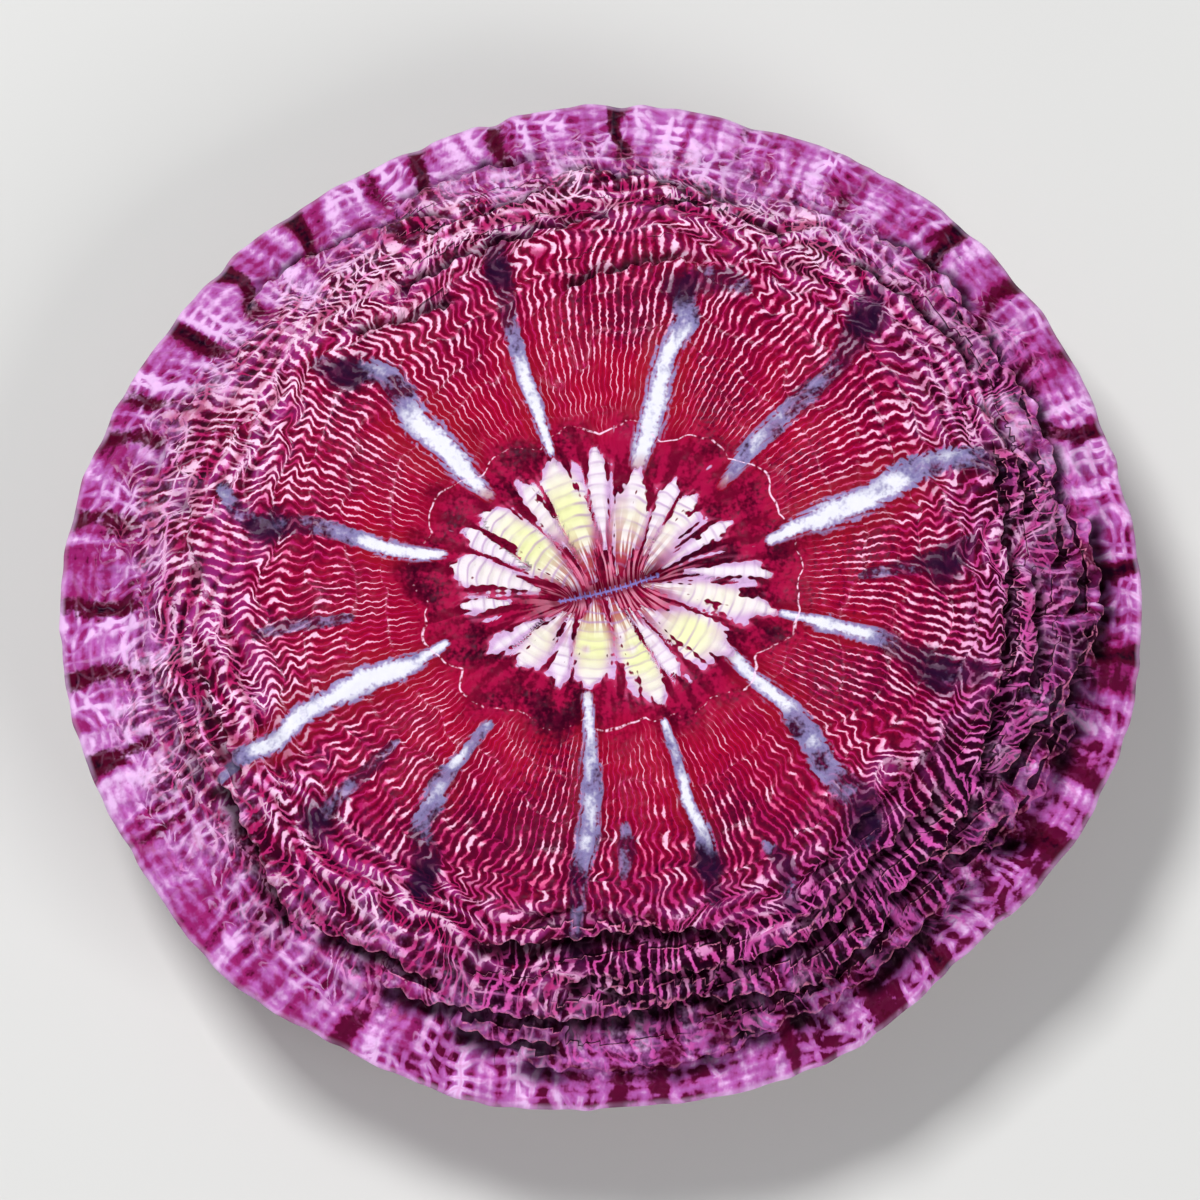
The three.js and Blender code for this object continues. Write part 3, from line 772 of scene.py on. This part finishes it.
def skirtColour(at, colour):
    # Pale ridges between the furrows, rose on their flanks, and maroon bars with wavy edges in the furrows,
    # partly the skirt's own stripes and partly painted shade; crossed by ripples that run round the disc,
    # finely streaked, and under the last threads of the net and the lines
    netted = step(at.wash, 0.42, 0.62, 0.1, 0.8)
    paleness = 0.62 - step(at.cell, 0.3, 0.85) * netted * 0.5 - at.bar * 0.4 + (at.streaks - 0.5) * 1.2
    paleness += at.ripple * 0.13 + (at.fine - 0.5) * 0.3 + (at.wash - 0.5) * 0.7
    paleness += at.side * 0.04 - at.below * 0.06
    skirt = blend(step(paleness, 0.2, 0.55), flesh["skirtRose"], flesh["skirt"])
    skirt = blend(step(paleness, 0.5, 0.95), skirt, flesh["skirtPale"])
    darkness = at.bar + at.ripple * 0.06 + (at.fine - 0.5) * 0.35 + (0.5 - at.streaks) * 0.7
    # The least pale parts take the bars' colour; more of them, as painted shade, on the shaded side and at
    # the bottom
    dim = step(paleness - at.deep * (0.1 + at.below * 0.2), 0.12, -0.08) * 0.9
    barMask = step(darkness, 0.52, 0.78).math("MAXIMUM", dim)
    skirt = blend(barMask, skirt, blend(step(darkness, 0.85, 1.15), flesh["bar"], flesh["night"]))
    # Painted shade: dark patches on the side turned from the key lamp
    shadePatches = at.deep * step(at.middle + at.wash, 1.0, 1.2) * step(at.share, 0.98, 0.9)
    skirt = blend(shadePatches, skirt, flesh["night"])
    # Painted highlight: a pale line along the rim's edge
    skirt = blend(step(at.share, 0.988, 0.998) * at.streaks * 0.8, skirt, flesh["skirtPale"])
    edge = at.share + (at.middle - 0.5) * 0.14 + (at.broad - 0.5) * 0.1 + (at.fine - 0.5) * 0.1
    onSkirt = step(edge + at.relief * 0.03, 0.77, 0.93)
    colour = blend(onSkirt, colour, skirt)

    netShow = step(at.side + (at.broad - 0.5) * 1.2, -0.9, 0.5, 0.25, 0.75) * step(at.streaks, 0.3, 0.65)
    net = step(at.cell, 0.4, 0.08) * netShow * (netted + 0.2)
    lineEnd = step(at.share + (at.broad - 0.5) * 0.1, 0.96, 0.88)
    threads = net.math("MAXIMUM", at.thread * lineEnd * step(at.small, 0.45, 0.65) * 0.8)
    threadColour = blend(at.deep, flesh["skirtPale"], flesh["lineDeep"])
    return blend(threads * onSkirt * (1 - barMask * 0.8), colour, threadColour)


def rayColour(at, colour):
    # A pale core that turns lilac-blue and then dark, with a grainy edge and rust beside it; the lines show
    # through its end, and the hollow there is dark
    grain = (at.fine - 0.5) * 0.55 + (at.small - 0.5) * 0.5 + (at.streak - 0.5) * 0.5
    tone = at.rayTone + (at.middle - 0.5) * 1.4 + (at.small - 0.5) * 0.8
    ray = blend(step(at.rayEdge + grain, 0.35, 0.75), flesh["rayLilac"], flesh["rayWhite"])
    ray = blend(step(tone + grain * 1.2, 0.3, 1.0), ray, flesh["rayBlue"])
    ray = blend(step(tone + grain * 1.8, 1.0, 1.6), ray, flesh["rayDark"])
    colour = blend(step(at.rayEdge, -1.2, -0.2) * step(at.rayTone, 1.2, 0.3) * 0.5, colour, flesh["rayRust"])
    inside = step(at.rayEdge + grain - step(at.off, 0.2, 0.45) * 0.25, 0.0, 0.35)
    beyondMouth = step(at.ringGap + (at.small - 0.5) * 2 - at.rayTone, -4.5, -1.5)
    colour = blend(inside * step(tone, 0.7, 1.7, 1.0, 0.65) * beyondMouth, colour, ray)
    return blend(step(at.hollow + grain * 0.8, 0.3, 0.85) * 0.75, colour, flesh["rayDark"])


def heartColour(at, colour):
    # Inside the scalloped ring: red streaks to the slit, dark in patches, veined near it, pink by the petals
    heart = blend(step(at.streak + (at.fine - 0.5) * 0.5, 0.35, 0.65), flesh["heart"], flesh["heartBright"])
    heart = blend(step(at.fine * 0.4 + at.middle + at.broad * 0.4, 0.95, 0.6) * 0.8, heart, flesh["night"])
    heart = blend(step(at.streak, 0.48, 0.6) * step(at.radius, 8.0, 3.0) * 0.85, heart, flesh["vein"])
    heart = blend(step(at.petalEdge, -0.9, -0.3) * step(at.streak, 0.4, 0.6) * 0.5, heart, flesh["linePink"])
    inside = step(at.ringGap + (at.middle - 0.5) * 5, 3.0, -2.0)
    return blend(inside * step(at.rayEdge, 0.4, 0.0), colour, heart)


def petalColour(at, colour):
    # Cream, lilac towards the edge, red at the root, yellow in the middle of some, with fine ribs across; the
    # edge is moved by the ribs and torn along the streaks
    tear = (at.streak - 0.5) * 2.5 + (at.small - 0.5) * 0.8
    edge = at.petalEdge + at.ribWave * 0.13 + tear * step(at.radius, 3.0, 9.0, 0.4, 1.2)
    rimmed = step(at.petalEdge + (at.middle - 0.5) * 2, 0.7, 0.1) * 0.8
    petal = blend(rimmed, flesh["petal"], flesh["petalLilac"])
    petal = blend(step(at.radius, 7.5, 2.5) * step(at.streak, 0.4, 0.55), petal, flesh["heartBright"])
    petal = blend(at.petalYellow * step(at.small, 0.1, 0.5), petal, flesh["petalYellow"])
    rib = fromMiddle(at.petalRun / flesh["petalRibPitch"] + at.small * 0.6)
    petal = blend(step(rib, 0.2, 0.0) * step(at.middle, 0.4, 0.7, 0.2, 0.7), petal, flesh["petalRib"])
    return blend(step(edge, -0.04, 0.12) * step(at.radius, 15.0, 13.0), colour, petal)


def slitColour(at, colour):
    # The scalloped ring, a broken white thread; and the slit, a pale line with stitches across it, on a bed
    ring = step((at.ringGap + (at.small - 0.5) * 0.8).math("ABSOLUTE"), 0.11, 0.02)
    colour = blend(ring * step(at.middle + at.fine, 0.85, 1.2), colour, flesh["lineWhite"])
    colour = blend(step(at.slitGap, 0.9, 0.3) * 0.7, colour, flesh["heart"])
    stitch = step(fromMiddle(at.slitRun / flesh["stitchPitch"]), 0.2, 0.05)
    stitches = step(at.slitGap + (at.small - 0.5) * 0.3, 0.3, 0.18) * stitch
    return blend(step(at.slitGap, 0.13, 0.05).math("MAXIMUM", stitches), colour, flesh["slit"])


def creaseColour(at, colour):
    # Painted shade on the floor just past a crease's lip, and a painted highlight on the lip, both only on
    # strong creases
    floor = step(at.gap, -0.05, 0.15) * step(at.gap, 1.7, 0.7)
    strong = step(at.strength + (at.middle - 0.5) * 0.8, 0.35, 0.95)
    colour = blend(floor * strong * 0.9, colour, flesh["shadow"])
    lip = step(at.gap, -0.4, -0.2) * step(at.gap, 0.1, -0.1) * step(at.strength, 0.4, 1.1)
    return blend(lip * step(at.fine, 0.35, 0.6) * 0.8, colour, flesh["lip"])


def fleshMaterial():
    # The slope's colour with each other part's laid over it in turn; bumps = noise + the petals' ribs
    shader = Shader("coral_flesh")
    at = fleshFields(shader)
    lineFields(at)
    colour = slopeColour(at)
    for layer in (skirtColour, rayColour, heartColour, petalColour, slitColour, creaseColour):
        colour = layer(at, colour)
    ribs = at.ribWave * step(at.petalEdge, -0.1, 0.3) * flesh["petalRibRise"]
    height = surfaceNoise(at, flesh["bumpsPerMm"], 0.0) * flesh["bumpRise"] + ribs
    return shader.finish(colour, step(at.fine, 0.3, 0.7, 0.34, 0.5), height * mm, flesh["gloss"])


stone = {
    "grainPerMm": 3.0, "patchesPerMm": 0.25, "poresPerMm": 2.4,
    "ribRise": 0.15, "grainRise": 0.25, "poreDepth": 0.12,  # in mm
    **inks(bone="e9e0cf", shade="a9987c", stain="8d6b63", pore="5b4c3c"),
}


def stoneMaterial():
    # Bone-white on the ribs, greyer between them as painted shade, stained in patches, darker towards the
    # flesh, and full of pores
    shader = Shader("coral_stone")
    rib, share, _ = shader.parts("cup")
    crest = rib * 0.5 + 0.5
    place = shader.add("TexCoord", {}, {}, "Object")
    grain = shader.add("TexNoise", {}, {
        "Vector": place, "Scale": stone["grainPerMm"] / mm, "Detail": 3.0, "Roughness": 0.65})
    patches = shader.add("TexNoise", {}, {"Vector": place, "Scale": stone["patchesPerMm"] / mm})
    pores = shader.add("TexVoronoi", {}, {"Vector": place, "Scale": stone["poresPerMm"] / mm}, "Distance")
    colour = blend(step(crest, 0.15, 0.6), stone["shade"], stone["bone"])
    colour = blend(step(patches, 0.5, 0.7) * 0.45, colour, stone["stain"])
    colour = blend(step(pores, 0.22, 0.08) * 0.55, colour, stone["pore"])
    colour = blend(step(share, 0.72, 0.8) * 0.5, colour, stone["stain"])
    height = crest * stone["ribRise"] + grain * stone["grainRise"]
    height += step(pores, 0.08, 0.25) * stone["poreDepth"]
    return shader.finish(colour, step(grain, 0.3, 0.7, 0.75, 0.95), height * mm, {"Specular IOR Level": 0.3})


stage = {
    "floorSize": 3.0, "floorColour": ink("d2d2d0"), "worldColour": (0.93, 0.95, 1, 1), "worldStrength": 0.22,
    "lampAim": (0, 0, 0.015),
    "lamps": [  # name, place in m, side in m, watts: a key from the upper left of the picture, and two fills
        ("key", (-0.24, 0.28, 0.65), 0.2, 4.6),
        ("fill", (0.45, -0.42, 0.5), 0.4, 3.0),
        ("low", (-0.3, -0.6, 0.25), 0.4, 0.6),
    ],
}


def buildStage():
    # A square floor at height 0, an even pale world, and square lamps turned to the coral
    half = stage["floorSize"] / 2
    mesh = bpy.data.meshes.new("floor")
    corners = [(-half, -half, 0), (half, -half, 0), (half, half, 0), (-half, half, 0)]
    mesh.from_pydata(corners, [], [(0, 1, 2, 3)])
    mesh.materials.append(Shader("floor").finish(stage["floorColour"], 0.8, None, {}))
    floor = bpy.data.objects.new("floor", mesh)
    bpy.context.scene.collection.objects.link(floor)
    world = bpy.context.scene.world or bpy.data.worlds.new("studio")
    bpy.context.scene.world = world
    world.use_nodes = True
    background = world.node_tree.nodes["Background"]
    background.inputs["Color"].default_value = stage["worldColour"]
    background.inputs["Strength"].default_value = stage["worldStrength"]
    for name, place, side, watts in stage["lamps"]:
        light = bpy.data.lights.new(name, "AREA")
        light.energy, light.size = watts, side
        lamp = bpy.data.objects.new(name, light)
        lamp.location = place
        lamp.rotation_euler = (Vector(stage["lampAim"]) - Vector(place)).to_track_quat("-Z", "Y").to_euler()
        bpy.context.scene.collection.objects.link(lamp)


camera = {
    "elevation": 76.5,
    "distance": 0.6,  # in m
    "sensor": 36,
    "frameWidth": 97.5,  # mm of the rim's plane that the picture spans
    "aimAside": -0.57, "aimDown": -1.0, "aimHeight": 22,  # mm from the mouth, and over the base
    "rimHeight": 13.6,
}


def buildCamera(mouth):
    # Looks at the mouth from its elevation; focal length = sensor times the rim's distance over the width
    # that the picture spans there
    lift = radians(camera["elevation"])
    aim = mouth + Vector((camera["aimAside"], camera["aimDown"], camera["aimHeight"])) * mm
    back = Vector((0, -cos(lift), sin(lift))) * camera["distance"]
    rimDrop = (camera["aimHeight"] - camera["rimHeight"]) * mm * sin(lift)
    lens = bpy.data.cameras.new("camera")
    lens.sensor_width = camera["sensor"]
    lens.lens = camera["sensor"] * (camera["distance"] + rimDrop) / (camera["frameWidth"] * mm)
    seen = bpy.data.objects.new("camera", lens)
    seen.location = aim + back
    seen.rotation_euler = (-back).to_track_quat("-Z", "Y").to_euler()
    bpy.context.scene.collection.objects.link(seen)
    bpy.context.scene.camera = seen


fleshPiece, mouthPlace = buildCoral()
fleshPiece.data.materials.append(fleshMaterial())
fleshPiece.data.materials.append(stoneMaterial())
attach(fleshPiece, "root")
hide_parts("coral")
print("materials done")
buildStage()
buildCamera(mouthPlace)
bpy.context.scene.view_settings.view_transform = "Standard"
print("stage and camera done")
